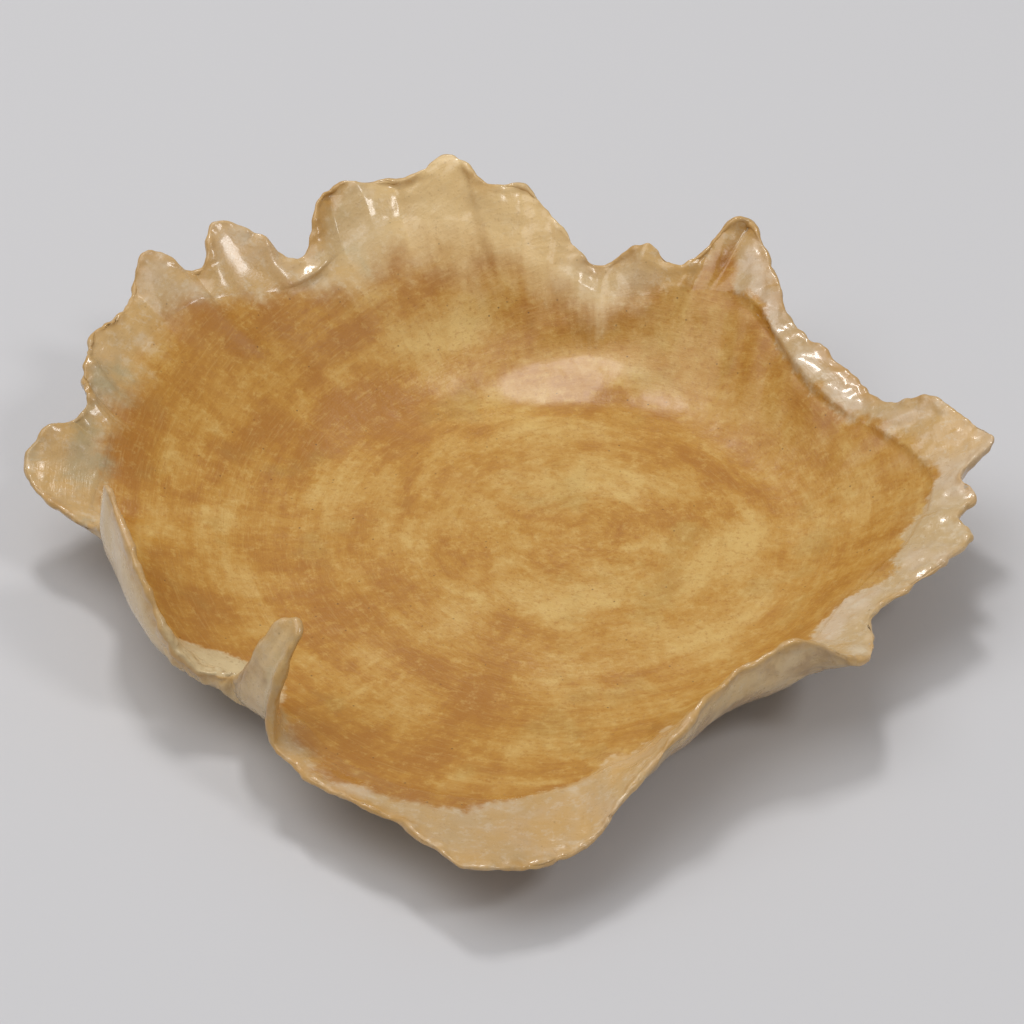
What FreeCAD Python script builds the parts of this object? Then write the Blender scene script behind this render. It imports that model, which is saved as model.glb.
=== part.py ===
import FreeCAD, Part
import math
import os
from collections import namedtuple

# Ring dish: one thin clay dish with a torn, ruffled rim, an ochre glaze coat in the well
# and a pearl glaze coat that wraps the lip and the outside down to the bare foot.
# Millimetres. Z is up, the foot stands on Z = 0 and its centre is the origin.
# X points to the right and the front tip of the rim points to -Y.

Vec = FreeCAD.Vector
RimPoint = namedtuple("RimPoint", "name bearing reach height curl kept slant", defaults=(0, 1.0, 0))
ShoulderPoint = namedtuple("ShoulderPoint", "name bearing reach height")

# Driving sizes: alias and value
SIZES = [
    ("rim_diameter", 99.0),
    ("rim_height", 19.8),
    ("foot_diameter", 42.0),
    ("foot_height", 1.0),
    ("base_diameter", 46.0),
    ("floor_diameter", 50.0),
    ("floor_thickness", 2.6),
    ("shoulder_thickness", 1.8),
    ("lip_thickness", 0.6),
    ("bare_band", 3.0),
    ("ochre_thickness", 0.25),
    ("pearl_thickness", 0.2),
]

# The torn rim, anticlockwise seen from above: bearing in degrees from +X, reach from the axis as a
# percentage of the rim's radius, height above the table as a percentage of the rim's height, curl,
# the extra lean in degrees of the edge towards the axis, the share of the lip that a tear has kept,
# and slant, the degrees of bearing that the lip gains on its way up
RIM = [
    RimPoint("ear_front", -179.0, 102.0, 48),
    RimPoint("ear_seam", -174.5, 93.5, 48),
    RimPoint("flap_back", -169.8, 91.0, 72, 10),
    RimPoint("flap_tip", -165.5, 91.2, 103, 14),
    RimPoint("flap_brow", -161.5, 91.0, 98, 14),
    RimPoint("flap_mid", -156.0, 90.5, 90, 14),
    RimPoint("flap_low", -152.5, 90.5, 81, 12),
    RimPoint("flap_end", -149.0, 90.5, 69, 9),
    RimPoint("flap_foot", -146.2, 90.0, 56, 5),
    RimPoint("notch_start", -143.8, 88.0, 44),
    RimPoint("notch_mid", -140.5, 84.0, 40),
    RimPoint("notch_end", -138.6, 82.0, 42),
    RimPoint("tab_far_low", -136.6, 80.0, 97, 34, 0.54, 7),
    RimPoint("tab_far", -135.8, 80.0, 97, 34, 0.87, 7),
    RimPoint("tab_tip", -134.9, 80.0, 97, 34, 0.985, 7),
    RimPoint("tab_top", -133.7, 80.0, 97, 34, 0.985, 7),
    RimPoint("tab_near", -132.6, 82.0, 93, 28, 1.0, 7),
    RimPoint("tab_bend", -131.5, 85.0, 83, 20, 1.0, 5.6),
    RimPoint("tab_side", -130.5, 87.5, 71, 12, 1.0, 4.3),
    RimPoint("tab_waist", -129.5, 89.5, 61, 6, 1.0, 3.2),
    RimPoint("tab_base", -128.4, 91.0, 52, 2, 1.0, 2.4),
    RimPoint("tab_root", -127.0, 92.0, 46, 0, 1.0, 1.6),
    RimPoint("left_root", -124.0, 93.0, 42),
    RimPoint("left_lip", -119.5, 95.0, 42),
    RimPoint("left_lip_mid", -112.0, 99.0, 42),
    RimPoint("left_lip_end", -106.0, 101.5, 41),
    RimPoint("tip_left", -100.5, 108.0, 40),
    RimPoint("front_tip", -95.0, 112.0, 40),
    RimPoint("tip_right", -89.0, 107.0, 40),
    RimPoint("tip_root", -82.5, 99.0, 44),
    RimPoint("fold_start", -78.0, 91.0, 54),
    RimPoint("fold_rise", -74.0, 86.5, 59),
    RimPoint("fold_low", -69.5, 81.5, 65),
    RimPoint("fold_mid", -62.5, 77.0, 70),
    RimPoint("fold_top", -53.5, 76.0, 75),
    RimPoint("fold_end", -46.0, 80.5, 72),
    RimPoint("corner", -41.5, 86.0, 56),
    RimPoint("side_a", -35.5, 82.5, 55),
    RimPoint("side_b", -30.0, 79.0, 55),
    RimPoint("side_c", -25.0, 80.5, 57),
    RimPoint("side_d", -17.0, 86.5, 60),
    RimPoint("side_e", -10.5, 91.0, 62),
    RimPoint("side_f", -7.0, 89.0, 62),
    RimPoint("side_g", -4.0, 92.0, 65),
    RimPoint("side_h", -1.0, 89.0, 65),
    RimPoint("right_tip", 5.5, 97.0, 70),
    RimPoint("right_a", 11.0, 93.5, 72),
    RimPoint("right_b", 16.0, 89.0, 70),
    RimPoint("right_c", 21.0, 82.0, 61),
    RimPoint("right_d", 29.0, 80.0, 60),
    RimPoint("right_e", 38.0, 79.5, 62),
    RimPoint("right_f", 44.5, 80.0, 65),
    RimPoint("peak_root", 50.5, 84.5, 73),
    RimPoint("peak_rise", 55.0, 90.0, 82),
    RimPoint("peak_tip", 60.5, 94.0, 93),
    RimPoint("peak_far", 63.2, 90.0, 87),
    RimPoint("pleat", 66.5, 82.5, 72),
    RimPoint("pleat_crest", 72.5, 83.0, 80),
    RimPoint("back_dip", 78.5, 80.0, 65),
    RimPoint("back_a", 84.0, 81.0, 72),
    RimPoint("back_b", 88.0, 86.5, 86),
    RimPoint("back_c", 91.5, 91.0, 98),
    RimPoint("back_d", 96.0, 91.5, 99),
    RimPoint("back_peak", 101.5, 98.5, 110),
    RimPoint("crown_a", 107.0, 98.0, 102),
    RimPoint("crown_b", 113.0, 102.0, 102),
    RimPoint("crown_c", 118.5, 102.0, 98),
    RimPoint("cleft_side", 122.0, 97.0, 85),
    RimPoint("cleft", 125.0, 94.0, 74),
    RimPoint("crest_rise", 129.0, 99.0, 85),
    RimPoint("crest", 134.0, 106.0, 96),
    RimPoint("crest_gap", 138.2, 102.0, 82),
    RimPoint("crest_tooth", 142.0, 111.0, 90),
    RimPoint("left_a", 146.5, 109.0, 82),
    RimPoint("left_b", 153.5, 107.0, 80),
    RimPoint("left_c", 159.0, 107.5, 75),
    RimPoint("left_d", 163.0, 104.0, 72),
    RimPoint("ear_crease", 167.5, 101.0, 65),
    RimPoint("ear_back", 171.0, 106.5, 65),
    RimPoint("ear_tip", 175.8, 111.0, 56),
]

# The shoulder, where the bowl turns into the lip and the two glazes meet, in the same percentages
SHOULDER = [
    ShoulderPoint("ear", -177.0, 93.0, 42),
    ShoulderPoint("flap_back", -167.0, 86.5, 45),
    ShoulderPoint("flap", -156.0, 86.0, 42),
    ShoulderPoint("flap_end", -147.5, 84.8, 37),
    ShoulderPoint("notch", -139.5, 80.3, 33),
    ShoulderPoint("tab", -130.0, 80.0, 33),
    ShoulderPoint("left_lip", -114.0, 86.5, 32),
    ShoulderPoint("front", -97.0, 87.5, 30),
    ShoulderPoint("front_right", -84.0, 83.0, 32),
    ShoulderPoint("fold_low", -70.0, 75.0, 41),
    ShoulderPoint("fold", -55.0, 71.0, 47),
    ShoulderPoint("corner", -42.0, 72.0, 43),
    ShoulderPoint("side_near", -30.0, 69.5, 42),
    ShoulderPoint("side_far", -16.0, 75.5, 47),
    ShoulderPoint("right", 3.0, 84.0, 53),
    ShoulderPoint("right_far", 20.0, 75.5, 50),
    ShoulderPoint("back_right", 38.0, 73.0, 52),
    ShoulderPoint("peak", 56.0, 81.0, 64),
    ShoulderPoint("pleat", 67.0, 77.0, 60),
    ShoulderPoint("back_dip", 79.0, 75.0, 53),
    ShoulderPoint("back", 93.0, 82.5, 75),
    ShoulderPoint("back_peak", 104.0, 90.0, 82),
    ShoulderPoint("crown", 116.0, 92.5, 77),
    ShoulderPoint("cleft", 127.0, 89.5, 64),
    ShoulderPoint("crest", 140.0, 97.0, 70),
    ShoulderPoint("left", 152.0, 99.5, 67),
    ShoulderPoint("left_low", 162.0, 97.5, 59),
    ShoulderPoint("ear_back", 172.0, 94.5, 48),
]

# Shares of a rib's length that its handles take: floor end, shoulder end, lip and lip roundness
FLOOR_HANDLE = 0.42
SHOULDER_HANDLE = 0.30
LIP_HANDLE = 0.36
LIP_ROUND = 0.6

# The crest of a rounded edge stands at this share of the height of its two middle poles
CREST_SHARE = 0.75

TURN = 360.0
SEARCH_STEPS = 12

doc = FreeCAD.newDocument("ring_dish")


# The sheet that holds every driving size and percentage
sheet = doc.addObject("Spreadsheet::Sheet", "Sizes")
cells = list(SIZES)
for point in RIM:
    cells.append(("rim_" + point.name + "_reach", point.reach))
    cells.append(("rim_" + point.name + "_height", point.height))
for point in SHOULDER:
    cells.append(("shoulder_" + point.name + "_reach", point.reach))
    cells.append(("shoulder_" + point.name + "_height", point.height))
for row, (alias, value) in enumerate(cells, start=1):
    sheet.set("A%d" % row, alias)
    sheet.set("B%d" % row, "%g" % value)
    sheet.setAlias("B%d" % row, alias)
doc.recompute()


def size(alias):
    """The sheet's value for one alias."""
    return float(getattr(sheet, alias))


def polar(bearing, reach, height):
    """A point from its bearing in degrees, its reach from the axis and its height."""
    angle = math.radians(bearing)
    return Vec(reach * math.cos(angle), reach * math.sin(angle), height)


def profile_point(prefix, point):
    """A rim or shoulder point, from the sheet's percentages of the rim's radius and height."""
    reach = size(prefix + point.name + "_reach") / 100 * size("rim_diameter") / 2
    height = size(prefix + point.name + "_height") / 100 * size("rim_height")
    return polar(point.bearing, reach, height)


def unit(vector):
    """The vector at length one."""
    return vector * (1.0 / vector.Length)


# Every ring has one point per rim station, so all the surfaces share one set of knots
BEARINGS = [point.bearing for point in RIM]
KNOTS = BEARINGS + [BEARINGS[0] + TURN]


def closed_curve(points, parameters):
    """A smooth closed curve through the points."""
    curve = Part.BSplineCurve()
    curve.interpolate(Points=points, Parameters=parameters, PeriodicFlag=True)
    return curve


def ring(points):
    """The closed curve of one point per rim station."""
    return closed_curve(points, KNOTS)


def band(rings):
    """The closed surface whose ribs are Bezier curves with one pole on each ring."""
    curves = [ring(points) for points in rings]
    rows = [curve.getPoles() for curve in curves]
    poles = [list(rib) for rib in zip(*rows)]
    around = curves[0].getMultiplicities()
    across = [len(rings), len(rings)]
    surface = Part.BSplineSurface()
    surface.buildFromPolesMultsKnots(
        poles, around, across, curves[0].getKnots(), [0.0, 1.0], True, False, 3, len(rings) - 1
    )
    return surface


def split(poles, share):
    """The two parts of a Bezier rib that is cut at one share of its length."""
    first = [start + (end - start) * share for start, end in zip(poles, poles[1:])]
    second = [start + (end - start) * share for start, end in zip(first, first[1:])]
    cut = second[0] + (second[1] - second[0]) * share
    return [poles[0], first[0], second[0], cut], [cut, second[1], first[2], poles[3]]


def normals(surface, share):
    """Outward unit normals of a band at every station, at one share of its ribs."""
    return [surface.normal(bearing, share) for bearing in BEARINGS]


def moved(points, directions, distance):
    """The ring moved along its directions by one distance, or by one distance per station."""
    return [point + way * distance for point, way in zip(points, directions)]


def disc(points):
    """The flat face inside a level ring."""
    return Part.Face(Part.Wire([ring(points).toShape()]))


def solid(faces):
    """The solid that the faces close."""
    shell = Part.makeShell(faces)
    shell.sewShape()
    made = Part.makeSolid(shell)
    if made.Volume < 0:
        made.reverse()
    return made


def feature(name, shape):
    """A document object that shows a finished shape."""
    made = doc.addObject("Part::Feature", name)
    made.Label = name
    made.Shape = shape
    return made


# The inside of the clay: ribs from the floor's edge up to the shoulder and on to the rim
floor_radius = size("floor_diameter") / 2
base_radius = size("base_diameter") / 2
base_height = size("foot_height")
floor_height = base_height + size("floor_thickness")
shoulder_bearings = [point.bearing for point in SHOULDER]
shoulder_points = [profile_point("shoulder_", point) for point in SHOULDER]
shoulder_curve = closed_curve(shoulder_points, shoulder_bearings + [shoulder_bearings[0] + TURN])


def at_bearing(curve, bearing):
    """The point of a closed curve that lies at one bearing, found from its parameter nearby."""
    parameter = bearing
    for _ in range(SEARCH_STEPS):
        point = curve.value(parameter)
        error = bearing - math.degrees(math.atan2(point.y, point.x))
        error = (error + TURN / 2) % TURN - TURN / 2
        parameter += error
    return curve.value(parameter)


up = Vec(0, 0, 1)
floor_edge = [polar(bearing, floor_radius, floor_height) for bearing in BEARINGS]
shoulder = [at_bearing(shoulder_curve, bearing) for bearing in BEARINGS]
wall_rings = [[], [], [], []]
lip_rings = [[], [], [], []]
for point, low, mid in zip(RIM, floor_edge, shoulder):
    top = FreeCAD.Rotation(up, point.slant).multVec(profile_point("rim_", point))
    outward = polar(point.bearing, 1.0, 0.0)
    sideways = Vec(-outward.y, outward.x, 0)
    wall = mid - low
    lip = top - mid
    turn = FreeCAD.Rotation(sideways, point.curl / 2).multVec(unit(unit(wall) + unit(lip)))
    end = FreeCAD.Rotation(sideways, -point.curl).multVec(unit(lip))
    wall_poles = [
        low,
        low + outward * (FLOOR_HANDLE * wall.Length),
        mid - turn * (SHOULDER_HANDLE * wall.Length),
        mid,
    ]
    lip_poles = [mid, mid + turn * (LIP_HANDLE * lip.Length), top - end * (LIP_HANDLE * lip.Length), top]
    lip_poles = split(lip_poles, point.kept)[0]
    for points, pole in zip(wall_rings, wall_poles):
        points.append(pole)
    for points, pole in zip(lip_rings, lip_poles):
        points.append(pole)
rim = lip_rings[3]
inner_wall = band(wall_rings)
inner_lip = band(lip_rings)

# The outside of the clay: the lip thins from the shoulder to the rim, and the wall runs down to the foot
thick = size("shoulder_thickness")
thin = size("lip_thickness")
lip_shares = [0.0, 1 / 3, 2 / 3, 1.0]
outer_lip_rings = []
for points, share in zip(lip_rings, lip_shares):
    outer_lip_rings.append(moved(points, normals(inner_lip, share), thick + (thin - thick) * share))
outer_shoulder = outer_lip_rings[0]
base_edge = [polar(bearing, base_radius, base_height) for bearing in BEARINGS]
base_rings = [[], [], [], []]
outer_wall_rings = [[], [], [], []]
for bearing, low, mid, after in zip(BEARINGS, base_edge, outer_shoulder, outer_lip_rings[1]):
    rise = mid - low
    outward = polar(bearing, 1.0, 0.0)
    poles = [
        low,
        low + unit(unit(rise) + outward) * (FLOOR_HANDLE * rise.Length),
        mid - unit(after - mid) * (SHOULDER_HANDLE * rise.Length),
        mid,
    ]
    lower, upper = split(poles, size("bare_band") / rise.Length)
    for points, pole in zip(base_rings, lower):
        points.append(pole)
    for points, pole in zip(outer_wall_rings, upper):
        points.append(pole)
outer_base = band(base_rings)
outer_wall = band(outer_wall_rings)
outer_lip = band(outer_lip_rings)

# The torn edge is rounded over from the inside to the outside
rim_curve = ring(rim)
edge_ways = []
for bearing, normal in zip(BEARINGS, normals(inner_lip, 1.0)):
    edge_ways.append(unit(normal.cross(rim_curve.tangent(bearing)[0])))
outer_rim = outer_lip_rings[3]
round_over = LIP_ROUND * thin
edge = band([rim, moved(rim, edge_ways, round_over), moved(outer_rim, edge_ways, round_over), outer_rim])

clay_faces = [disc(floor_edge), disc(base_edge)]
for surface in (inner_wall, inner_lip, edge, outer_lip, outer_wall, outer_base):
    clay_faces.append(surface.toShape())
clay_shell = feature("clay_shell", solid(clay_faces))

# A low round foot stands under the base and runs up into the clay of the floor
foot = doc.addObject("Part::Cylinder", "foot")
foot.setExpression("Radius", "Sizes.foot_diameter / 2")
foot.setExpression("Height", "Sizes.foot_height + Sizes.floor_thickness / 2")
clay_body = doc.addObject("Part::Fuse", "clay_body")
clay_body.Label = "clay_body"
clay_body.Base = clay_shell
clay_body.Tool = foot

# The ochre coat lies on the floor and the wall as far as the shoulder
ochre = size("ochre_thickness")
shoulder_out = normals(inner_lip, 0.0)
ochre_floor_edge = [point + up * ochre for point in floor_edge]
ochre_rings = [ochre_floor_edge]
for points, share in zip(wall_rings[1:3], lip_shares[1:3]):
    ochre_rings.append(moved(points, normals(inner_wall, share), -ochre))
ochre_edge = moved(shoulder, shoulder_out, -ochre)
ochre_rings.append(ochre_edge)
ochre_faces = [disc(floor_edge), disc(ochre_floor_edge)]
for surface in (inner_wall, band(ochre_rings), band([shoulder, ochre_edge])):
    ochre_faces.append(surface.toShape())
ochre_glaze = feature("ochre_glaze", solid(ochre_faces))

# The pearl coat wraps the lip from the shoulder, over the torn edge and down to the bare foot band
pearl = size("pearl_thickness")
pearl_inner_rings = []
for points, share in zip(lip_rings, lip_shares):
    pearl_inner_rings.append(moved(points, normals(inner_lip, share), -pearl))
pearl_outer_rings = []
for points, share in zip(outer_lip_rings, lip_shares):
    pearl_outer_rings.append(moved(points, normals(outer_lip, share), pearl))
pearl_wall_rings = []
for points, share in zip(outer_wall_rings[:3], lip_shares[:3]):
    pearl_wall_rings.append(moved(points, normals(outer_wall, share), pearl))
pearl_wall_rings.append(pearl_outer_rings[0])
pearl_round = round_over + pearl / CREST_SHARE
pearl_edge = band(
    [
        pearl_inner_rings[3],
        moved(pearl_inner_rings[3], edge_ways, pearl_round),
        moved(pearl_outer_rings[3], edge_ways, pearl_round),
        pearl_outer_rings[3],
    ]
)
pearl_surfaces = [inner_lip, edge, outer_lip, outer_wall]
pearl_surfaces += [band(pearl_inner_rings), pearl_edge, band(pearl_outer_rings), band(pearl_wall_rings)]
pearl_surfaces += [band([shoulder, pearl_inner_rings[0]]), band([outer_wall_rings[0], pearl_wall_rings[0]])]
pearl_glaze = feature("pearl_glaze", solid([surface.toShape() for surface in pearl_surfaces]))

# Check every object, then write one file per sub-part
doc.recompute()
for item in doc.Objects:
    if "Invalid" in item.State or "Error" in item.State:
        raise RuntimeError(item.Name + " did not recompute")
os.makedirs("parts", exist_ok=True)
for part in (clay_body, ochre_glaze, pearl_glaze):
    if part.Shape.isNull() or not part.Shape.isValid():
        raise RuntimeError(part.Label + " has no valid shape")
    part.Shape.exportStep("parts/" + part.Label + ".step")
    print(part.Label, round(part.Shape.Volume, 1), "mm3", part.Shape.optimalBoundingBox())
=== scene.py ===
import math

import bpy
import numpy as np
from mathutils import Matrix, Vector, noise as lattice
from mathutils.kdtree import KDTree


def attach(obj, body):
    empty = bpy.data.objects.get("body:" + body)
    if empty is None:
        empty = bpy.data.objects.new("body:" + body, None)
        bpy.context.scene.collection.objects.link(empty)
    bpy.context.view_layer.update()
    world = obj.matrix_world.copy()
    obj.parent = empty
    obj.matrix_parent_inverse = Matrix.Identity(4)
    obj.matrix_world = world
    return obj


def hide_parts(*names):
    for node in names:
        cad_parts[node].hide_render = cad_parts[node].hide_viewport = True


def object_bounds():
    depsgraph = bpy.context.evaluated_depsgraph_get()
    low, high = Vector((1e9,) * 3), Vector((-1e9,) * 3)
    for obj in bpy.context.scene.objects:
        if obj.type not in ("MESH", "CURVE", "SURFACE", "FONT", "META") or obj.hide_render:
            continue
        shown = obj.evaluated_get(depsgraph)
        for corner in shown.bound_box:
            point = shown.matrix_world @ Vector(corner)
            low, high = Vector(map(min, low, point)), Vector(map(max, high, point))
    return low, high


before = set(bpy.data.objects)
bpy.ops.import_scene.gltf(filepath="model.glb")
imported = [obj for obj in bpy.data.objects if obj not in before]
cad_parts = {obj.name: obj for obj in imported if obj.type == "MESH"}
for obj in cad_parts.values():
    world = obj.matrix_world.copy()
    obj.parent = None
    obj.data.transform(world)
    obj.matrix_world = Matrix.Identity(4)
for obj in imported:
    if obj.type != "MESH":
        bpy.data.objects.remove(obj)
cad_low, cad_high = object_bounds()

# Ring dish. The solids give the form: each rib of the clay skin is read from them, from the foot over the
# torn rim to the floor, and a finer skin is built on those ribs with the tears, crumples and brush marks.
# Lengths are millimetres until a mesh is made, bearings are degrees anticlockwise from +X.

MM = 1000.0
TURN = 360.0
TINY = 1e-9

# Coats, as thick as the solids have them, and the length in which one thickness passes into the other
PEARL_COAT = 0.20
OCHRE_COAT = 0.25
COAT_FADE = 2.0

# The tab at the front left leans sideways on its way up, so its ribs are read along that lean
TAB_BEARING = -134.0
TAB_HALF_WIDTH = 5.0
TAB_FADE = 12.0
TAB_LEAN = 5.0
TAB_LOW = 6.5
TAB_HIGH = 19.2

# The flap, the notch's left side, the tab and one petal were bent, not torn, so they stay smoother:
# bearing, half width and how smooth. The fade is where such a stretch ends, in half widths
BENT = [
    (-160.0, 11.0, 0.50),
    (-146.0, 4.0, 0.60),
    (-133.0, 7.5, 0.95),
    (133.5, 4.0, 0.65),
]
BENT_FADE = 1.5

# The notch between the flap and the tab is torn clay, rougher than the rest, in a band below its rim and
# a little way over the edge
NOTCH_BEARING = -143.0
NOTCH_HALF_WIDTH = 5.0
NOTCH_FADE = 1.6
TORN_BAND = 7.5
TORN_FADE = 1.2
TORN_EDGE = 0.8

# Where the ochre ends round the dish: bearing, how far it climbs past the shoulder, how softly it fades,
# how warm and how green the pearl glaze above it is, and how much painted shade browns it (less than zero
# for paler)
GLAZE_EDGE = [
    (-178.0, -1.5, 1.0, 0.50, 0.50, 0.12),
    (-170.0, 2.0, 1.0, 0.55, 0.10, 0.00),
    (-160.0, 3.0, 1.2, 0.20, 0.10, 0.00),
    (-152.0, 0.5, 0.8, 0.10, 0.10, 0.00),
    (-148.0, -4.5, 0.6, 0.10, 0.10, 0.00),
    (-143.0, -6.0, 0.6, 0.10, 0.10, 0.00),
    (-137.0, -4.0, 0.6, 0.45, 0.10, 0.00),
    (-133.0, -1.5, 0.8, 0.55, 0.35, 0.00),
    (-130.0, 1.5, 1.2, 0.50, 0.60, 0.08),
    (-126.0, 3.2, 1.6, 0.60, 0.35, 0.15),
    (-120.0, 3.5, 1.6, 0.55, 0.20, 0.08),
    (-106.0, 2.5, 1.0, 0.45, 0.30, 0.15),
    (-92.0, 0.8, 0.6, 0.40, 0.35, 0.22),
    (-80.0, -0.5, 0.5, 0.35, 0.15, 0.05),
    (-60.0, 0.5, 0.6, 0.60, 0.15, 0.10),
    (-42.0, 0.8, 0.4, 0.15, 0.10, 0.00),
    (-33.0, -1.0, 0.4, 0.00, 0.05, 0.00),
    (-25.0, 1.0, 0.4, 0.10, 0.05, 0.00),
    (-21.0, 3.2, 0.5, 0.30, 0.10, 0.05),
    (-17.0, 1.5, 0.4, 0.10, 0.05, 0.00),
    (-9.0, -1.2, 0.4, 0.00, 0.05, 0.00),
    (3.0, 0.8, 0.7, 0.20, 0.05, 0.00),
    (12.0, 1.6, 1.3, 0.45, 0.05, 0.05),
    (22.0, 0.0, 1.0, 0.30, 0.05, 0.12),
    (48.0, 0.0, 0.5, 0.15, 0.00, 0.25),
    (57.0, 0.5, 0.8, 0.25, 0.10, 0.15),
    (60.5, 5.0, 2.0, 0.70, 0.20, 0.20),
    (66.0, 1.5, 2.4, 0.70, 0.20, 0.00),
    (80.0, -3.0, 3.4, 0.25, 0.05, -0.40),
    (92.0, -3.5, 5.0, 0.70, 0.05, -0.75),
    (106.0, -4.5, 5.0, 0.65, 0.10, -0.75),
    (118.0, -3.5, 2.6, 0.20, 0.70, -0.20),
    (130.0, 0.0, 2.0, 0.45, 0.15, 0.00),
    (148.0, -1.0, 2.6, 0.60, 0.25, 0.12),
    (158.0, -1.0, 2.6, 0.45, 0.65, 0.10),
    (170.0, 0.0, 1.6, 0.50, 0.60, 0.15),
]

# Folds that run down from the rim on the inside: bearing at the rim, sideways drift for each millimetre
# down, half width, height (less than zero for a valley) and length. The top is how strong a fold is at
# the very rim, the crease how round its ridge is, in half widths
FOLDS = [
    (59.5, 0.10, 1.1, -1.5, 13.0),
    (73.0, 0.00, 1.4, 0.6, 9.0),
    (79.0, 0.00, 1.6, -0.6, 9.0),
    (87.0, 0.10, 1.4, 0.5, 12.0),
    (92.5, 0.00, 1.6, -0.5, 13.0),
    (99.0, -0.10, 1.8, 0.5, 14.0),
    (109.5, 0.00, 1.3, -0.9, 12.0),
    (114.0, 0.00, 1.2, 0.5, 12.0),
    (118.0, 0.10, 1.5, -1.0, 15.0),
    (129.0, 0.20, 1.4, 0.6, 9.0),
    (138.3, 0.30, 1.0, -1.0, 9.0),
    (146.0, 0.20, 1.3, -0.5, 9.0),
    (156.0, 0.35, 2.2, -0.9, 9.0),
    (159.5, 0.40, 0.9, 0.7, 9.0),
    (162.5, 0.40, 0.8, -0.7, 10.0),
    (165.0, 0.40, 0.8, 0.5, 9.0),
    (168.5, 0.30, 0.9, -0.9, 8.0),
]
FOLD_TOP = 0.6
FOLD_CREASE = 0.25

# Where the lip stands proud of the wall, with a step at its lower edge: bearing and height of the step.
# The step has a width, and a lip narrower than the least one has a lower step
LEDGES = [
    (-178.0, 0.35),
    (-165.0, 0.00),
    (-112.0, 0.00),
    (-100.0, 0.35),
    (-84.0, 0.35),
    (-66.0, 0.00),
    (-45.0, 0.10),
    (-30.0, 0.45),
    (10.0, 0.45),
    (22.0, 0.30),
    (36.0, 0.75),
    (50.0, 0.85),
    (56.0, 0.40),
    (61.0, 0.00),
    (120.0, 0.00),
    (125.0, 0.90),
    (130.0, 0.20),
    (140.0, 0.20),
    (150.0, 0.00),
    (165.0, 0.00),
    (172.0, 0.40),
]
LEDGE_STEP = 0.9
LEAST_LIP = 1.0

# How gritty the glaze on the lip is: bearing and strength
GRITTY = [
    (-170.0, 0.5),
    (-125.0, 0.3),
    (-95.0, 0.7),
    (-60.0, 0.8),
    (-40.0, 1.5),
    (0.0, 1.7),
    (25.0, 1.3),
    (45.0, 0.6),
    (118.0, 0.5),
    (129.0, 0.1),
    (137.0, 0.1),
    (142.0, 0.5),
    (160.0, 0.9),
]

# A patch at the foot of the back wall that was pressed flat: its middle, the height there, its rise
# towards +X and +Y, the way it runs, half its length and width, and where it ends in such halves
PRESSED_MIDDLE = (3.0, 27.8)
PRESSED_HEIGHT = 4.7
PRESSED_RISE = (0.079, 0.285)
PRESSED_WAY = (0.965, 0.262)
PRESSED_HALF = (7.5, 3.8)
PRESSED_FADE = 1.6

# The skin's grid: columns round the rim and rows along a rib, which crowd near the rim by a power
COLUMNS = 1440
FIRST_COLUMNS = 720
BARE_ROWS = 6
OUTER_ROWS = 46
LIP_ROWS = 36
WALL_ROWS = 34
FLOOR_ROWS = 24
CROWD = 1.7
UNDER_STEP = 3
NORMAL_ROUNDS = 2

# Reading the ribs: digits by which points are merged, rounds that undo the tab's lean, the step along a
# rib, the length on each side in which a rib turns over at the rim, the gap between two levels, how level
# a level triangle is, small turns that keep the planes off the seams of the solids, and the weights that
# even out the marks of neighbouring ribs
MERGE_DIGITS = 4
LEAN_ROUNDS = 30
FINE = 0.05
HAIRPIN = 1.5
LEVEL_GAP = 0.01
LEVEL_SLACK = 1e-3
FIRST_TURN = 0.013
LAST_TURN = 1e-4
SPREAD = (1, 2, 3, 2, 1)

# Stands for a distance that no tear, relief or colour near the rim reaches
FAR = 60.0

# Torn edge and relief. Pairs have a depth and the length of one wave, and easings are in columns
TEARS = [(0.45, 8.0), (0.26, 3.4), (0.13, 1.5)]
TEAR_STEP = 2.4
TEAR_EASING = 1.5
TEAR_BASE = -0.34
TEAR_LIMITS = (-1.3, 0.15)
TEAR_DEPTH = 4.0
PLEATS = [(0.75, 9.0), (0.45, 4.2)]
PLEAT_STRETCH = 3.5
PLEAT_DEPTH = 16.0
CRUMPLES = [(0.26, 5.5), (0.14, 2.4), (0.05, 1.1)]
CRUMPLE_DEPTH = 11.0
THINNING = 0.38
THINNING_BASE = 0.6
THINNING_LIMIT = 0.24
THINNING_DEPTH = 3.0
THIN_WAVES = [(0.6, 3.1), (0.5, 1.4)]
WELL_WAVES = [(0.42, 16.0), (0.18, 6.5), (0.03, 1.6)]
WELL_FADE = 8.0
GRIT = [(0.42, 1.8), (0.26, 0.9)]
BEADS = [(0.07, 1.3), (0.04, 0.8)]
WELL_BEADS = 0.4
EDGE_BEADS = [(0.26, 1.8), (0.14, 0.9)]
EDGE_BEAD_BAND = 1.8
LIP_EASING = 6.0
WALL_EASING = 60.0

# How far from the rim both faces move with the edge, and how soon the outside passes into the inside
EDGE_CAP = 1.2
EDGE_TURN = 0.4

# Rows below the rim whose normals stand for the lip's
LIP_SAMPLE = (8, 16)

# A number for each noise field, so that no two are alike
TEAR_SEED = 2
CRUMPLE_SEED = 11
THIN_SEED = 17
GRIT_SEED = 23
WELL_SEED = 31
BEAD_SEED = 41
EDGE_BEAD_SEED = 43
PLEAT_SEED = 51
SEED_STEP = 17.3


def smooth(share):
    """A soft step from 0 to 1."""
    share = np.clip(share, 0.0, 1.0)
    return share * share * (3.0 - 2.0 * share)


def unit(vectors):
    """The vectors at length one."""
    return vectors / np.maximum(np.linalg.norm(vectors, axis=-1, keepdims=True), TINY)


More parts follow.
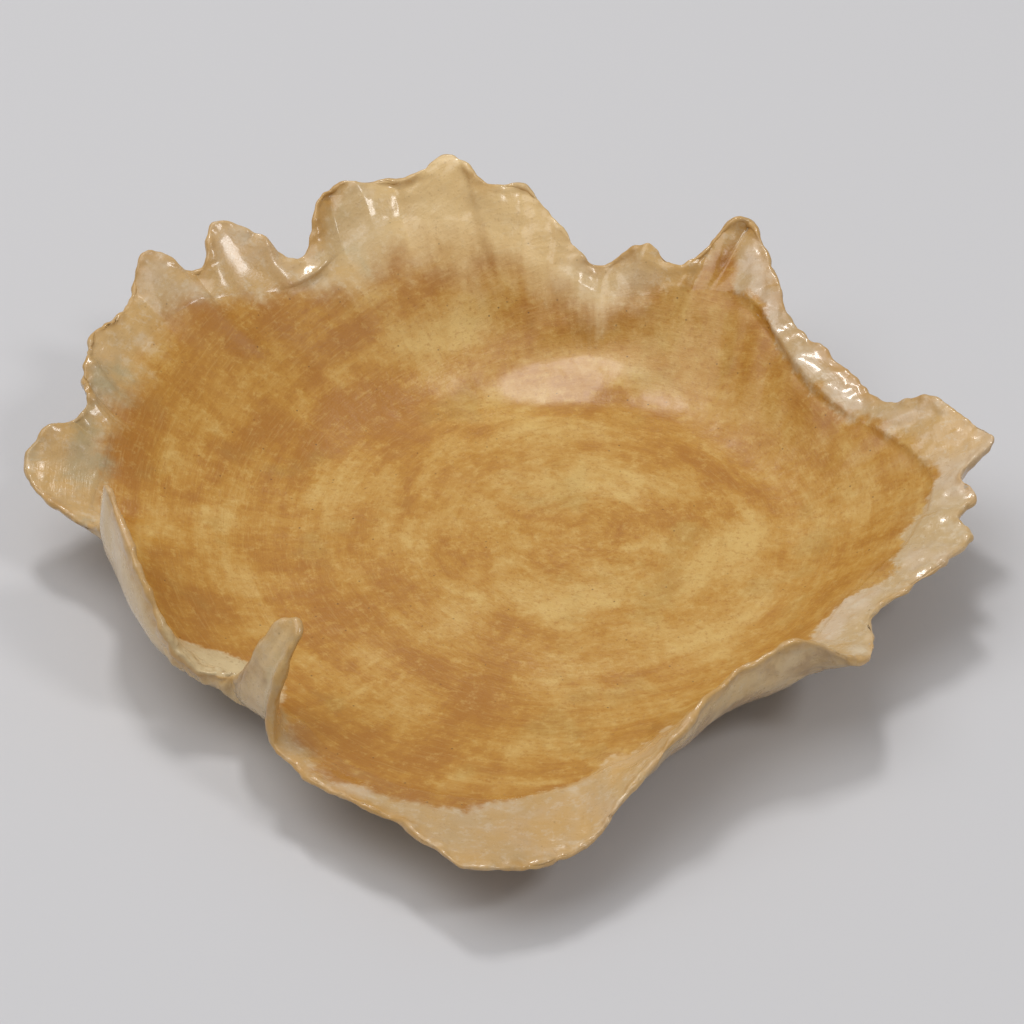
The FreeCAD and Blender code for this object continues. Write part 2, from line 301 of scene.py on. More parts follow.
def turned(bearing):
    """Bearings brought to the range from -180 to 180."""
    return (bearing + TURN / 2) % TURN - TURN / 2


def waves(points, layers, seed):
    """A sum of smooth noise fields at the points, one for each depth and wavelength."""
    total = np.zeros(points.shape[:-1])
    for number, (depth, length) in enumerate(layers):
        shifted = points.reshape(-1, 3) / length + SEED_STEP * (seed + number)
        field = [lattice.noise(point) for point in shifted.tolist()]
        total += depth * np.array(field).reshape(total.shape)
    return total


# Reading the ribs from the solids
def tab_lean(bearing, height):
    """The bearing that the leaning tab gains at a height, for a rib that starts at the bearing."""
    beside = np.abs(turned(bearing - TAB_BEARING)) - TAB_HALF_WIDTH
    rise = np.maximum(height - TAB_LOW, 0.0) / (TAB_HIGH - TAB_LOW)
    return TAB_LEAN * smooth(1.0 - beside / TAB_FADE) * rise


def node_mesh(name):
    """A solid's points, upright where the tab leans, and its triangles, with doubled points merged."""
    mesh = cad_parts[name].data
    points = np.empty(len(mesh.vertices) * 3, np.float32)
    mesh.vertices.foreach_get("co", points)
    mesh.calc_loop_triangles()
    triangles = np.empty(len(mesh.loop_triangles) * 3, np.int32)
    mesh.loop_triangles.foreach_get("vertices", triangles)
    points = np.round(points.reshape(-1, 3).astype(float) * MM, MERGE_DIGITS)
    points, merged = np.unique(points, axis=0, return_inverse=True)
    triangles = merged.reshape(-1)[triangles.reshape(-1, 3)]
    bearing = np.degrees(np.arctan2(points[:, 1], points[:, 0]))
    upright = bearing.copy()
    for _ in range(LEAN_ROUNDS):
        upright = bearing - tab_lean(upright, points[:, 2])
    reach = np.hypot(points[:, 0], points[:, 1])
    angle = np.radians(upright)
    return np.stack([reach * np.cos(angle), reach * np.sin(angle), points[:, 2]], 1), triangles


def crossings(points, triangles, bearings):
    """Where upright planes through the axis cut the triangles.

    Gives each cut's plane, the keys of both edges that it meets, and (reach, height) on both.
    """
    corner = np.degrees(np.arctan2(points[:, 1], points[:, 0]))[triangles]
    corner = corner[:, :1] + turned(corner - corner[:, :1])
    low, high = corner.min(1), corner.max(1)
    planes, picked = [], []
    for turn in (-TURN, 0.0, TURN):
        first = np.searchsorted(bearings, low + turn)
        count = np.searchsorted(bearings, high + turn) - first
        which = np.repeat(np.arange(len(triangles)), count)
        step = np.arange(len(which)) - np.repeat(np.cumsum(count) - count, count)
        planes.append(first[which] + step)
        picked.append(which)
    planes, picked = np.concatenate(planes), np.concatenate(picked)
    angle = np.radians(bearings[planes])[:, None]
    cut = triangles[picked]
    x, y, z = points[cut, 0], points[cut, 1], points[cut, 2]
    side = y * np.cos(angle) - x * np.sin(angle)
    ahead = x * np.cos(angle) + y * np.sin(angle)
    above = side > 0
    real = above.any(1) & ~above.all(1)
    planes, cut, side, ahead, z, above = (part[real] for part in (planes, cut, side, ahead, z, above))
    lone = np.where(above.sum(1) == 1, above.argmax(1), (~above).argmax(1))
    rows = np.arange(len(cut))
    keys, ends = [], []
    for step in (1, 2):
        other = (lone + step) % 3
        one, two = cut[rows, lone], cut[rows, other]
        share = side[rows, lone] / (side[rows, lone] - side[rows, other])
        reach = ahead[rows, lone] + share * (ahead[rows, other] - ahead[rows, lone])
        height = z[rows, lone] + share * (z[rows, other] - z[rows, lone])
        keys.append(np.minimum(one, two) * np.int64(len(points)) + np.maximum(one, two))
        ends.append(np.stack([reach, height], 1))
    return planes, keys, ends


def ribs(points, triangles, bearings):
    """A line of (reach, height) per bearing, from the base's edge over the rim to the floor's edge."""
    planes, keys, ends = crossings(points, triangles, bearings)
    order = np.argsort(planes, kind="stable")
    starts = np.searchsorted(planes[order], np.arange(len(bearings) + 1))
    lines = []
    for number in range(len(bearings)):
        mine = order[starts[number]:starts[number + 1]]
        spot, links = {}, {}
        for one, two, at_one, at_two in zip(keys[0][mine], keys[1][mine], ends[0][mine], ends[1][mine]):
            spot[one], spot[two] = at_one, at_two
            links.setdefault(one, []).append(two)
            links.setdefault(two, []).append(one)
        loose = [key for key, joined in links.items() if len(joined) == 1]
        key = min(loose, key=lambda end: spot[end][1])
        line, before = [spot[key]], None
        while True:
            after = [end for end in links[key] if end != before]
            if not after:
                break
            before, key = key, after[0]
            line.append(spot[key])
        lines.append(np.array(line))
    return lines


def extremes(name, bearings, value):
    """The point of a solid's section at each bearing where the value is greatest."""
    points, triangles = node_mesh(name)
    planes, _, ends = crossings(points, triangles, bearings)
    planes, ends = np.concatenate([planes, planes]), np.concatenate(ends)
    order = np.lexsort((value(ends), planes))
    last = np.searchsorted(planes[order], np.arange(len(bearings)), side="right") - 1
    return ends[order[last]]


def arc_of(line):
    """The length along a line up to each of its points."""
    steps = np.linalg.norm(np.diff(line, axis=0), axis=1)
    return np.concatenate([[0.0], np.cumsum(steps)])


def along(line, lengths):
    """Points at lengths along a line."""
    arc = arc_of(line)
    return np.stack([np.interp(lengths, arc, line[:, axis]) for axis in range(line.shape[1])], -1)


def apex_of(line):
    """The length along a rib at which it turns over at the rim."""
    fine = np.arange(0.0, arc_of(line)[-1], FINE)
    points = along(line, fine)
    span = int(HAIRPIN / FINE)
    gap = np.linalg.norm(points[2 * span:] - points[:-2 * span], axis=1)
    return fine[span + gap.argmin()]


def spread(values):
    """Values round the rim, evened out over neighbouring columns."""
    first = -(len(SPREAD) // 2)
    parts = [np.roll(values, step, axis=0) * weight for step, weight in enumerate(SPREAD, first)]
    return sum(parts) / sum(SPREAD)


def blurred(row, width):
    """A closed row of values evened out over a width in columns."""
    pace = np.fft.rfftfreq(len(row))[:, None]
    kept = np.exp(-2.0 * (math.pi * width * pace) ** 2)
    return np.fft.irfft(np.fft.rfft(row, axis=0) * kept, len(row), axis=0)


def placed(bearings, reach, height):
    """Points in space from upright bearings, with the tab's lean put back."""
    angle = np.radians(bearings + tab_lean(bearings, height))
    return np.stack([reach * np.cos(angle), reach * np.sin(angle), height], -1)


# The clay's levels, and its skin without the level faces
clay_points, clay_triangles = node_mesh("clay_body")
heights = clay_points[clay_triangles, 2]
level = np.ptp(heights, axis=1) < LEVEL_SLACK
flat = heights[level].mean(1)
foot_low = clay_points[:, 2].min()
floor_level = node_mesh("ochre_glaze")[0][:, 2].min()
base_level = np.median(flat[(flat > foot_low + LEVEL_GAP) & (flat < floor_level - LEVEL_GAP)])
to_level = np.abs(heights.mean(1)[:, None] - (foot_low, base_level, floor_level)).min(1)
main_level = level & (to_level < LEVEL_GAP)
skin_triangles = clay_triangles[~main_level & (heights.max(1) > base_level + LEVEL_GAP)]
foot_points = clay_points[clay_points[:, 2] < foot_low + LEVEL_GAP]
foot_reach = np.hypot(foot_points[:, 0], foot_points[:, 1]).max()

# Bearings of the columns, which stand evenly along the rim
first_bearings = np.linspace(-TURN / 2, TURN / 2, FIRST_COLUMNS, endpoint=False) + FIRST_TURN
first_ribs = ribs(clay_points, skin_triangles, first_bearings)
first_rim = np.array([along(line, apex_of(line)) for line in first_ribs])
first_rim = placed(first_bearings, first_rim[:, 0], first_rim[:, 1])
rim_steps = np.linalg.norm(np.roll(first_rim, -1, axis=0) - first_rim, axis=1)
rim_arc = np.concatenate([[0.0], np.cumsum(rim_steps)])
rim_place = np.linspace(0.0, rim_arc[-1], COLUMNS, endpoint=False)
bearings = np.interp(rim_place, rim_arc, np.append(first_bearings, first_bearings[0] + TURN))
bearings = np.sort(turned(bearings + LAST_TURN))

# Marks along each rib: the top of the bare band, the rim, the shoulder and the floor's edge
skin_ribs = ribs(clay_points, skin_triangles, bearings)
shoulder_points = extremes("ochre_glaze", bearings, lambda ends: ends.sum(1))
bare_points = extremes("pearl_glaze", bearings, lambda ends: -ends[:, 1])
marks = []
for line, shoulder_point, bare_point in zip(skin_ribs, shoulder_points, bare_points):
    fine = np.arange(0.0, arc_of(line)[-1], FINE)
    points = along(line, fine)
    apex = apex_of(line)
    to_bare = np.where(fine < apex, np.linalg.norm(points - bare_point, axis=1), np.inf)
    to_shoulder = np.where(fine > apex, np.linalg.norm(points - shoulder_point, axis=1), np.inf)
    marks.append((fine[to_bare.argmin()], apex, fine[to_shoulder.argmin()], arc_of(line)[-1]))
bare_arc, apex_arc, shoulder_arc, floor_arc = spread(np.array(marks)).T

# The grid: rows along the ribs, from the base's edge to the middle of the floor
bare_shares = np.linspace(0.0, 1.0, BARE_ROWS, endpoint=False)
outer_shares = 1.0 - (1.0 - np.linspace(0.0, 1.0, OUTER_ROWS, endpoint=False)) ** CROWD
lip_shares = np.linspace(0.0, 1.0, LIP_ROWS, endpoint=False) ** CROWD
wall_shares = np.linspace(0.0, 1.0, WALL_ROWS)
row_arcs = [bare_arc * share for share in bare_shares]
row_arcs += [bare_arc + (apex_arc - bare_arc) * share for share in outer_shares]
row_arcs += [apex_arc + (shoulder_arc - apex_arc) * share for share in lip_shares]
row_arcs += [shoulder_arc + (floor_arc - shoulder_arc) * share for share in wall_shares]
row_arcs = np.array(row_arcs)
OUTER = BARE_ROWS
APEX = OUTER + OUTER_ROWS
SHOULDER = APEX + LIP_ROWS
FLOOR = SHOULDER + WALL_ROWS
ROWS = FLOOR + FLOOR_ROWS - 1
profile = np.stack([along(line, row_arcs[:, column]) for column, line in enumerate(skin_ribs)], 1)
easing = np.zeros(FLOOR)
easing[APEX:SHOULDER] = LIP_EASING * lip_shares ** 2
easing[SHOULDER:] = LIP_EASING + (WALL_EASING - LIP_EASING) * wall_shares

# At the rim the columns stand evenly along its edge, at the floor evenly round the axis
even = np.linspace(0.0, TURN, COLUMNS, endpoint=False)
even += (bearings - even).mean()
evened = np.zeros(ROWS)
evened[SHOULDER:FLOOR] = smooth(wall_shares)
evened[FLOOR:] = 1.0
grid_bearings = bearings + evened[:, None] * (even - bearings)


def carried(row, values):
    """Values of the ribs on a row, carried over to the bearings that its columns have there."""
    return np.interp(grid_bearings[row], bearings, values, period=TURN)


for row in range(APEX, FLOOR):
    smoothed = blurred(profile[row], easing[row])
    profile[row] = np.stack([carried(row, smoothed[:, axis]) for axis in (0, 1)], -1)
skin = placed(grid_bearings[:FLOOR], profile[..., 0], profile[..., 1])
ring_shares = np.linspace(1.0, 0.0, FLOOR_ROWS + 1)[1:-1]
floor_reach = np.hypot(skin[-1, :, 0], skin[-1, :, 1]).mean()
inward = np.stack([ring_shares, ring_shares, np.ones_like(ring_shares)], 1)
skin = np.concatenate([skin, skin[-1][None] * inward[:, None]])


def grid_normals(points):
    """Normals of the grid that point out of the clay, evened out a little."""
    across = np.roll(points, -1, axis=1) - np.roll(points, 1, axis=1)
    normal = unit(np.cross(across, np.gradient(points, axis=0)))
    for _ in range(NORMAL_ROUNDS):
        normal = normal + 0.5 * (np.roll(normal, 1, axis=1) + np.roll(normal, -1, axis=1))
        padded = np.concatenate([normal[:1], normal, normal[-1:]])
        normal = unit(normal + 0.5 * (padded[:-2] + padded[2:]))
    return normal


# Distances that the tears and the colours go by
rim = skin[APEX]
tree = KDTree(COLUMNS)
for number, point in enumerate(rim.tolist()):
    tree.insert(point, number)
tree.balance()
rim_gap = np.full((ROWS, COLUMNS), FAR)
for row in range(OUTER, FLOOR):
    for column, point in enumerate(skin[row].tolist()):
        _, _, rim_gap[row, column] = tree.find(point)
from_apex = np.full((ROWS, COLUMNS), FAR)
from_apex[:FLOOR] = row_arcs - apex_arc
glaze_line = np.full((ROWS, COLUMNS), -FAR)
for row in range(FLOOR):
    glaze_line[row] = carried(row, shoulder_arc - row_arcs[row])
ring_reach = np.hypot(skin[FLOOR:, :, 0], skin[FLOOR:, :, 1])
glaze_line[FLOOR:] = glaze_line[FLOOR - 1] + ring_reach - floor_reach
inside = np.tanh(from_apex / EDGE_TURN)
notch = smooth(NOTCH_FADE - np.abs(turned(bearings - NOTCH_BEARING)) / NOTCH_HALF_WIDTH)

calm = np.ones(COLUMNS)
for bearing, half_width, strength in BENT:
    calm *= 1.0 - strength * smooth(BENT_FADE - np.abs(turned(bearings - bearing)) / half_width)

# Tears: the rim is moved along its own edge, and the lip below it follows
normals = grid_normals(skin)
lip_first, lip_last = LIP_SAMPLE
lip_normal = unit(blurred(normals[APEX + lip_first:APEX + lip_last].mean(0), LIP_EASING))
rim_tangent = blurred(np.roll(rim, -1, axis=0) - np.roll(rim, 1, axis=0), TEAR_EASING)
edge_way = unit(np.cross(rim_tangent, lip_normal))
torn_steps = 0.0
for depth, length in TEARS:
    torn_steps += depth * np.tanh(TEAR_STEP * waves(rim, [(1.0, length)], TEAR_SEED))
tear = blurred(np.clip(TEAR_BASE + torn_steps, *TEAR_LIMITS)[:, None], TEAR_EASING) * calm[:, None]
skin = skin + edge_way * tear * smooth(1.0 - rim_gap / TEAR_DEPTH)[..., None]

# Relief: both sides of the lip and its edge move together. Pleats and folds run down from the rim,
# crumples lie near it, the lip has a step at its lower edge, and the notch has grit
normals = grid_normals(skin)
lip_rows = slice(OUTER, FLOOR)
round_rim = np.linspace(0.0, 2.0 * math.pi, COLUMNS, endpoint=False)
circle = rim_arc[-1] / (2.0 * math.pi)
unrolled = np.empty((FLOOR - OUTER, COLUMNS, 3))
unrolled[..., 0] = circle * np.cos(round_rim)
unrolled[..., 1] = circle * np.sin(round_rim)
unrolled[..., 2] = np.abs(from_apex[lip_rows]) / PLEAT_STRETCH
relief = waves(unrolled, PLEATS, PLEAT_SEED) * smooth(1.0 - rim_gap[lip_rows] / PLEAT_DEPTH)
depth = np.abs(from_apex[lip_rows])
for bearing, drift, width, height, length in FOLDS:
    start = np.interp(bearing, bearings, rim_place)
    aside = rim_place - drift * depth - start
    aside = (aside + rim_arc[-1] / 2) % rim_arc[-1] - rim_arc[-1] / 2
    shape = np.exp(-(np.hypot(aside, FOLD_CREASE * width) - FOLD_CREASE * width) / width)
    from_top = smooth(FOLD_TOP + (1.0 - FOLD_TOP) * depth)
    relief += height * shape * from_top * smooth(1.0 - depth / length)
ledge_bearings, ledge_heights = np.array(LEDGES).T
ledge = np.interp(bearings, ledge_bearings, ledge_heights, period=TURN)
ledge_place = np.clip(depth / np.maximum(shoulder_arc - apex_arc, LEAST_LIP), 0.0, 1.0)
ledge_step = smooth(0.5 + glaze_line[lip_rows] / LEDGE_STEP)
relief += ledge * ledge_place * ledge_step * (from_apex[lip_rows] > 0)
relief += waves(skin[lip_rows], CRUMPLES, CRUMPLE_SEED) * smooth(1.0 - rim_gap[lip_rows] / CRUMPLE_DEPTH)
thinner = THINNING * (THINNING_BASE + waves(skin[lip_rows], THIN_WAVES, THIN_SEED))
thinner = np.minimum(thinner, THINNING_LIMIT)
thinner *= smooth(1.0 - rim_gap[lip_rows] / THINNING_DEPTH)
face = np.tanh(from_apex / EDGE_CAP)[..., None]
sway = face * normals + (1.0 - np.abs(face)) * lip_normal
torn_band = smooth((TORN_BAND - rim_gap) / TORN_FADE)
grit = waves(skin[lip_rows], GRIT, GRIT_SEED) * notch * torn_band[lip_rows]
skin[lip_rows] += unit(sway)[lip_rows] * (calm * relief + grit)[..., None]
skin[lip_rows] -= normals[lip_rows] * (calm * thinner)[..., None]

# The well has slow waves and one patch that was pressed flat
normals = grid_normals(skin)
well = waves(skin[SHOULDER:], WELL_WAVES, WELL_SEED) * smooth(-glaze_line[SHOULDER:] / WELL_FADE)
skin[SHOULDER:] += normals[SHOULDER:] * well[..., None]
aside = skin[SHOULDER:, :, :2] - PRESSED_MIDDLE
lengthwise = aside @ np.array(PRESSED_WAY)
sideways = aside @ np.array((-PRESSED_WAY[1], PRESSED_WAY[0]))
pressed = smooth(PRESSED_FADE - np.hypot(lengthwise / PRESSED_HALF[0], sideways / PRESSED_HALF[1]))
flat_height = PRESSED_HEIGHT + aside @ np.array(PRESSED_RISE)
skin[SHOULDER:, :, 2] += pressed * (flat_height - skin[SHOULDER:, :, 2])

# The glaze stands in fine beads, coarser ones along the torn edge
normals = grid_normals(skin)
gritty_bearings, gritty = np.array(GRITTY).T
gritty = np.interp(grid_bearings[OUTER:], gritty_bearings, gritty, period=TURN)
bead_share = np.where(glaze_line[OUTER:] > 0.0, gritty, WELL_BEADS)
beads = waves(skin[OUTER:], BEADS, BEAD_SEED) * bead_share
edge_share = smooth(1.0 - rim_gap[OUTER:] / EDGE_BEAD_BAND)
beads += waves(skin[OUTER:], EDGE_BEADS, EDGE_BEAD_SEED) * edge_share


# Meshes
def stitched(outer, inner):
    """Faces between two closed rows of vertices, the second with as many as the first or half."""
    count = len(outer)
    if len(inner) == count:
        after = [(number + 1) % count for number in range(count)]
        return [(outer[n], outer[m], inner[m], inner[n]) for n, m in zip(range(count), after)]
    faces = []
    for half in range(len(inner)):
        a, b, c = outer[2 * half], outer[2 * half + 1], outer[(2 * half + 2) % count]
        p, q = inner[half], inner[(half + 1) % len(inner)]
        faces += [(a, b, p), (b, q, p), (b, c, q)]
    return faces


class Skin:
    """A closed mesh that is put together row by row."""

    def __init__(self):
        self.points, self.faces, self.values, self.last = [], [], [], None
        self.borders, self.count = [], 0

    def row(self, points, values, border=0):
        """Adds a closed row and joins it to the row before; a border row has its own number above 0."""
        numbers = list(range(self.count, self.count + len(points)))
        self.borders.append(np.full(len(points), border))
        self.points.append(points)
        self.values.append(values)
        self.count += len(points)
        if self.last is not None:
            if len(numbers) > len(self.last):
                self.faces += [tuple(reversed(face)) for face in stitched(numbers, self.last)]
            else:
                self.faces += stitched(self.last, numbers)
        else:
            self.first = numbers
        self.last = numbers

    def close(self):
        """Joins the last row to the first."""
        self.faces += stitched(self.last, self.first)

    def cap(self, point, values, last=True):
        """Closes the last row, or the first, with a fan to one point."""
        ring = self.last if last else self.first[::-1]
        self.points.append(point[None])
        self.values.append(values[None])
        self.borders.append(np.zeros(1, int))
        self.faces += [(ring[n], ring[(n + 1) % len(ring)], self.count) for n in range(len(ring))]
        self.count += 1

    def mesh(self, name, names):
        """The finished mesh in metres, smooth, with its values as attributes."""
        mesh = bpy.data.meshes.new(name)
        mesh.from_pydata((np.concatenate(self.points) / MM).tolist(), [], self.faces)
        values = np.concatenate(self.values)
        for number, label in enumerate(names):
            attribute = mesh.attributes.new(label, "FLOAT", "POINT")
            attribute.data.foreach_set("value", np.ascontiguousarray(values[:, number], np.float32))
        mesh.polygons.foreach_set("use_smooth", [True] * len(mesh.polygons))
        ends = np.empty(len(mesh.edges) * 2, np.int32)
        mesh.edges.foreach_get("vertices", ends)
        one, two = np.concatenate(self.borders)[ends.reshape(-1, 2)].T
        sharp = mesh.attributes.new("sharp_edge", "BOOLEAN", "EDGE")
        sharp.data.foreach_set("value", (one == two) & (one > 0))
        mesh.update()
        return mesh


# The last trait is painted shade, which the mesh carries to the shader as a value
VALUES = ("rim_gap", "glaze_line", "glaze_fade", "outside", "torn", "warmth", "green", "painted_shade")
torn = notch * torn_band * smooth(TORN_EDGE + inside)
edge_bearings, *edge_traits = np.array(GLAZE_EDGE).T
climb, fade, warmth, green, painted_shade = [
    np.interp(grid_bearings, edge_bearings, trait, period=TURN) for trait in edge_traits
]
outside = (1.0 - inside) / 2.0
values = np.stack([rim_gap, glaze_line - climb, fade, outside, torn, warmth, green, painted_shade], -1)


def step_at(row):
    """Every how many columns a row keeps: all near the rim, fewer low on the wall and on the floor."""
    if row >= FLOOR + 2 * FLOOR_ROWS // 3:
        return 8
    if row >= FLOOR + FLOOR_ROWS // 3:
        return 4
    if row < OUTER + OUTER_ROWS // 3 or row > SHOULDER + WALL_ROWS // 2:
        return 2
    return 1


def under_rows(first, last):
    """The rows of the clay under a coat: the visible ones thinned out, with both ends kept."""
    return list(range(first, last, UNDER_STEP)) + [last]


def linked(name, data):
    """A new object in the scene."""
    made = bpy.data.objects.new(name, data)
    bpy.context.scene.collection.objects.link(made)
    return made


def piece(name, skin_mesh, slot, *nodes):
    """A visual piece that rides on the dish and stands for its solid."""
    made = linked(name, skin_mesh)
    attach(made, "root")
    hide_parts(*nodes)
    return made


coat = np.full((ROWS, COLUMNS), PEARL_COAT)
coat[SHOULDER:] = PEARL_COAT + (OCHRE_COAT - PEARL_COAT) * smooth(-glaze_line[SHOULDER:] / COAT_FADE)
surface = skin.copy()
surface[OUTER:] += normals[OUTER:] * (coat[OUTER:] + beads)[..., None]
surface = np.clip(surface, np.array(cad_low) * MM, np.array(cad_high) * MM)
middle = np.array([0.0, 0.0, 1.0])


def make_pearl():
    """The pearl coat: over the outside, the torn edge and the lip, and back along the clay."""
    made = Skin()
    ends = (OUTER, SHOULDER)
    for row in range(OUTER, SHOULDER + 1):
        border = 1 + ends.index(row) if row in ends else 0
        made.row(surface[row, ::step_at(row)], values[row, ::step_at(row)], border)
    for row in reversed(under_rows(OUTER, SHOULDER)):
        border = 3 + ends.index(row) if row in ends else 0
        made.row(skin[row, ::step_at(row)], values[row, ::step_at(row)], border)
    made.close()
    return piece("pearl_glaze_coat", made.mesh("pearl_glaze_coat", VALUES), "pearl", "pearl_glaze")


def make_ochre():
    """The ochre coat: from the shoulder to the middle of the floor, and back along the clay."""
    made = Skin()
    for row in reversed(under_rows(SHOULDER, ROWS - 1)):
        made.row(skin[row, ::step_at(row)], values[row, ::step_at(row)], 1 if row == SHOULDER else 0)
    made.cap(middle * skin[-1, :, 2].mean(), values[-1, 0], last=False)
    for row in range(SHOULDER, ROWS):
        made.row(surface[row, ::step_at(row)], values[row, ::step_at(row)], 2 if row == SHOULDER else 0)
    made.cap(middle * surface[-1, :, 2].mean(), values[-1, 0])
    return piece("ochre_glaze_coat", made.mesh("ochre_glaze_coat", VALUES), "ochre", "ochre_glaze")


# The foot's rounded edges, and the rings of its underside
FOOT_EASE = 0.35
FOOT_CORNER = FOOT_EASE * 0.3
FOOT_RINGS = 7


def make_clay():
    """The clay: the foot, the bare band above it and the body under the coats."""
    made = Skin()
    angle = np.radians(bearings)
    around = np.stack([np.cos(angle), np.sin(angle), 0.0 * angle], 1)[::2]
    plain = np.broadcast_to(values[0, :1], (len(around), len(VALUES)))
    rings = [(foot_reach * (number + 1) / FOOT_RINGS, foot_low) for number in range(FOOT_RINGS - 1)]
    rings += [
        (foot_reach - FOOT_EASE, foot_low),
        (foot_reach - FOOT_CORNER, foot_low + FOOT_CORNER),
        (foot_reach, foot_low + FOOT_EASE),
        (foot_reach, base_level - FOOT_EASE),
        (foot_reach + FOOT_CORNER, base_level),
    ]
    for reach, height in rings:
        made.row(around * reach + middle * height, plain)
    made.cap(middle * foot_low, values[0, 0], last=False)
    for row in list(range(0, OUTER)) + under_rows(OUTER, ROWS - 1):
        step = max(step_at(row), 2)
        made.row(skin[row, ::step], values[row, ::step])
    made.cap(middle * skin[-1, :, 2].mean(), values[-1, 0])
    return piece("clay_body_bisque", made.mesh("clay_body_bisque", VALUES), "clay", "clay_body")


# Materials
def linear(part):
    """A screen value from 0 to 255, brought to the linear value that shaders use."""
    part = part / 255.0
    return part / 12.92 if part <= 0.04045 else ((part + 0.055) / 1.055) ** 2.4


def colour(red, green, blue):
    """A colour as seen on screen, for the socket of a shader."""
    return (linear(red), linear(green), linear(blue), 1.0)


OCHRE_DARK = colour(164, 104, 30)
OCHRE = colour(190, 137, 52)
OCHRE_PALE = colour(217, 181, 108)
OCHRE_GREEN = colour(170, 142, 76)
SPECK = colour(70, 48, 24)
PEARL_BEIGE = colour(200, 170, 122)
PEARL_PINK = colour(212, 186, 152)
PEARL_WHITE = colour(226, 210, 182)
PEARL_GREEN = colour(160, 150, 112)
AMBER_LIGHT = colour(238, 206, 148)
AMBER_PALE = colour(210, 168, 100)
AMBER = colour(190, 140, 60)
# A brown for real stains and grit, also used for the painted shade on the lip
STAIN_AND_SHADE = colour(150, 104, 52)
TORN_CLAY = colour(208, 185, 140)
BISQUE = colour(203, 184, 158)
BISQUE_DARK = colour(164, 140, 112)

# Noise fields: waves for each millimetre, detail, roughness and distortion
CLOUDS = (0.075, 4.0, 0.6, 0.4)
BLOTCHES = (0.22, 4.0, 0.62)
STIPPLE = (0.9, 3.0, 0.75)
GRAIN = (2.2, 2.0, 0.7)
GREEN_DRIFT = (0.11, 3.0)
PEARL_DRIFT = (0.10, 3.0, 0.55, 0.3)
BISQUE_CLOUDS = (0.18, 4.0, 0.6)
BISQUE_GRIT = (2.4, 3.0, 0.7)

# Brushed fields: waves round the brush's middle, waves for each millimetre outwards, then as above
ARCS = (1.3, 0.16, 3.0, 0.55, 0.8)
STROKES = (4.0, 0.9, 4.0, 0.6, 0.5)
FINE_STROKES = (14.0, 4.0, 3.0, 0.65)
RUNS = (9.0, 0.06, 4.0, 0.6, 0.3)

# The middle of the brush's turns on the floor, and the reach within which strokes get no tighter
BRUSH_CENTRE = (5.0, 2.0)
BRUSH_LEAST = 9.0

# Iron specks: how many for each millimetre, which of them show, and how large they are
SPECK_SCALE = 0.9
SPECK_CHOICE = (0.55, 0.95)
SPECK_SIZE = (0.13, 0.05)

# Bumps: their depth in metres and their strength; and how the glaze bends light
BUMP_DISTANCE = 0.0002
GLAZE_BUMP = 0.35
BISQUE_BUMP = 0.5
GLAZE_IOR = 1.45

# How rough a glaze is, how much clear gloss lies on it and how rough that gloss is
PEARL_LOOK = (0.28, 0.60, 0.12)
OCHRE_LOOK = (0.42, 0.22, 0.25)
BISQUE_ROUGHNESS = 0.85


class Graph:
    """A short way to write the nodes of a material."""

    def __init__(self, name):
        self.material = bpy.data.materials.new(name)
        self.material.use_nodes = True
        self.tree = self.material.node_tree
        self.tree.nodes.clear()

    def node(self, kind, inputs=(), output=0, **settings):
        """A node with its settings and inputs; an input is a number, a colour or another node's output."""
        made = self.tree.nodes.new(kind)
        for key, value in settings.items():
            setattr(made, key, value)
        for key, value in dict(inputs).items():
            if isinstance(value, bpy.types.NodeSocket):
                self.tree.links.new(value, made.inputs[key])
            else:
                made.inputs[key].default_value = value
        return made.outputs[output]

    def place(self):
        """A point's place on the dish in millimetres."""
        place = self.node("ShaderNodeTexCoord", output="Object")
        return self.node("ShaderNodeVectorMath", {0: place, "Scale": MM}, operation="SCALE")

    def math(self, operation, one, two=0.0, clamp=False):
        """One operation on one or two values."""
        return self.node("ShaderNodeMath", {0: one, 1: two}, operation=operation, use_clamp=clamp)

    def value(self, name):
        """A value that the mesh carries under a name."""
        return self.node("ShaderNodeAttribute", output="Fac", attribute_name=name)

    def noise(self, vector, scale, detail, roughness=0.55, distortion=0.0):
        """A noise field from 0 to 1."""
        inputs = {"Vector": vector, "Scale": scale, "Detail": detail}
        inputs.update({"Roughness": roughness, "Distortion": distortion})
        return self.node("ShaderNodeTexNoise", inputs, output="Fac")

    def step(self, value, low, high):
        """A soft step from 0 to 1 while a value goes from low to high."""
        inputs = {"Value": value, "From Min": low, "From Max": high, "To Min": 0.0, "To Max": 1.0}
        return self.node("ShaderNodeMapRange", inputs, interpolation_type="SMOOTHSTEP")

    def mix(self, share, one, two):
        """Two colours mixed by a share."""
        inputs = {0: share, 6: one, 7: two}
        return self.node("ShaderNodeMix", inputs, output=2, data_type="RGBA")

    def finish(self, shader):
        """The material with a shader as its surface."""
        end = self.tree.nodes.new("ShaderNodeOutputMaterial")
        self.tree.links.new(shader, end.inputs["Surface"])
        return self.material


